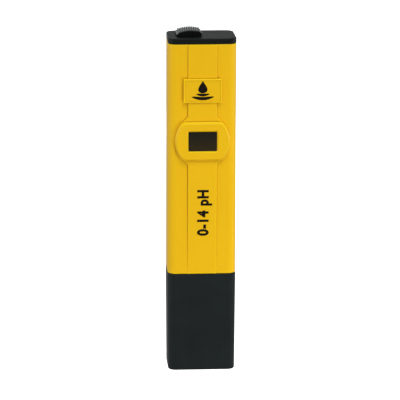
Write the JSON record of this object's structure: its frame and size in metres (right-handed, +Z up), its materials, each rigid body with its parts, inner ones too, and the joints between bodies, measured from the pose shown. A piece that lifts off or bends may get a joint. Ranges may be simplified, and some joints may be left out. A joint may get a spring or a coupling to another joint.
{
  "type": "digital ph meter",
  "caption": "Pocket pH tester: slim yellow housing with a small display, a black battery drawer with an on/off slider, and a glass electrode under a black pull-off cap.",
  "frame": {"origin": "centre of the overall outline, on the flat bottom of the protective cap", "axes": "+Z up the tester to the slider, -Y the display side, +X to the right when facing the display"},
  "size_m": [0.0298, 0.0235, 0.15],
  "materials": {
    "yellow_shell": "satin moulded yellow",
    "black_shell": "fine satin black",
    "clear_window": "clear moulded window",
    "display_glass": "display glass",
    "polarizer_film": "dark film",
    "white_plastic": "natural white",
    "contact_rubber": "striped elastomer",
    "circuit_board": "green solder mask",
    "chip_resin": "black moulding resin",
    "tinned_metal": "tinned",
    "resistor_body": "glazed",
    "capacitor_body": "moulded orange",
    "trimmer_blue": "blue moulding",
    "brass_screw": "machined",
    "spring_metal": "nickel plated",
    "lever_plastic": "black",
    "inner_black_plastic": "moulded black",
    "seal_rubber": "soft black",
    "translucent_tube": "natural translucent",
    "electrode_glass": "thin clear glass",
    "porous_junction": "porous white",
    "potting_resin": "dark resin",
    "silver_wire": "silver with a grey chloride coat",
    "red_insulation": "soft vinyl",
    "black_insulation": "soft vinyl",
    "cell_steel": "nickel-plated can"
  },
  "bodies": {
    "housing": {"body_sleeve": "yellow_shell", "window_lens": "clear_window", "lcd_glass": "display_glass", "lcd_polarizers": "polarizer_film", "lcd_frame": "white_plastic", "zebra_strips": "contact_rubber", "circuit_board": "circuit_board", "driver_chip": "chip_resin", "driver_chip_pins": "tinned_metal", "amplifier_chip": "chip_resin", "amplifier_pins": "tinned_metal", "chip_resistors": "resistor_body", "capacitors": "capacitor_body", "trimmer_body": "trimmer_blue", "inner_chassis": "white_plastic", "contact_positive": "spring_metal", "contact_negative": "spring_metal", "switch_housing": "tinned_metal", "switch_terminals": "tinned_metal", "electrode_holder": "inner_black_plastic", "cap_seal": "seal_rubber", "holder_seal": "seal_rubber", "electrode_guard": "inner_black_plastic", "electrode_body": "translucent_tube", "glass_stem": "electrode_glass", "glass_bulb": "electrode_glass", "junction_ring": "porous_junction", "stem_ring": "seal_rubber", "potting_plug": "potting_resin", "measuring_wire": "silver_wire", "reference_wire": "silver_wire", "measuring_lead": "red_insulation", "reference_lead": "black_insulation"},
    "drawer": {"top_cap": "black_shell", "lid_seal": "seal_rubber", "battery_tray": "inner_black_plastic", "battery_cell_1": "cell_steel", "battery_cell_2": "cell_steel", "battery_cell_3": "cell_steel", "battery_cell_4": "cell_steel"},
    "slider": {"power_slider": "black_shell"},
    "lever": {"switch_lever": "lever_plastic"},
    "trimmer_shaft": {"trimmer_screw": "brass_screw"},
    "cap": {"protective_cap": "black_shell"}
  },
  "joints": [
    {"name": "cap_pull", "type": "slide", "parent": "housing", "child": "cap", "axis": [0, 0, -1], "range_m": [0, 0.045]},
    {"name": "drawer_pull", "type": "slide", "parent": "housing", "child": "drawer", "axis": [0, 0, 1], "range_m": [0, 0.022]},
    {"name": "switch_slide", "type": "slide", "parent": "drawer", "child": "slider", "axis": [1, 0, 0], "range_m": [0, 0.0035]},
    {"name": "lever_slide", "type": "slide", "parent": "housing", "child": "lever", "axis": [1, 0, 0], "range_m": [0, 0.0035]},
    {"name": "trimmer_turn", "type": "hinge", "parent": "housing", "child": "trimmer_shaft", "pos_m": [0, 0.008, 0.084], "axis": [0, 1, 0], "range_deg": [-130, 130]}
  ],
  "couplings": [
    {"joint": "lever_slide", "follows": "switch_slide", "ratio": 1}
  ]
}
